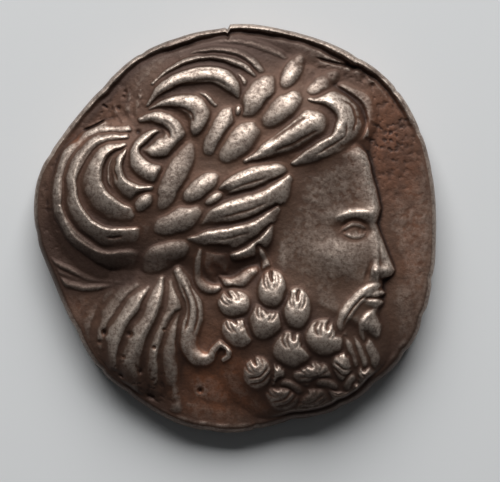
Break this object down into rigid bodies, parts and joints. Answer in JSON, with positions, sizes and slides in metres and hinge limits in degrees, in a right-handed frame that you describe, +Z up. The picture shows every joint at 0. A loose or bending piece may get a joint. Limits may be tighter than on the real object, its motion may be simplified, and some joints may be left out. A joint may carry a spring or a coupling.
{
  "type": "tetradrachm coin",
  "caption": "Thick silver coin on an uneven round flan, with a wreathed and bearded head in high relief over a dished reverse with a plain sprig.",
  "frame": {"origin": "centre of the coin's box, on the plane it lies on, under the reverse", "axes": "+Z up out of the obverse, +Y to the top of the struck head, +X the way the head looks"},
  "size_m": [0.025, 0.0254, 0.0044],
  "materials": {
    "silver": "old struck silver, toned brown in the hollows and worn bright on the high relief"
  },
  "bodies": {
    "root": {"coin": "silver"}
  },
  "joints": []
}
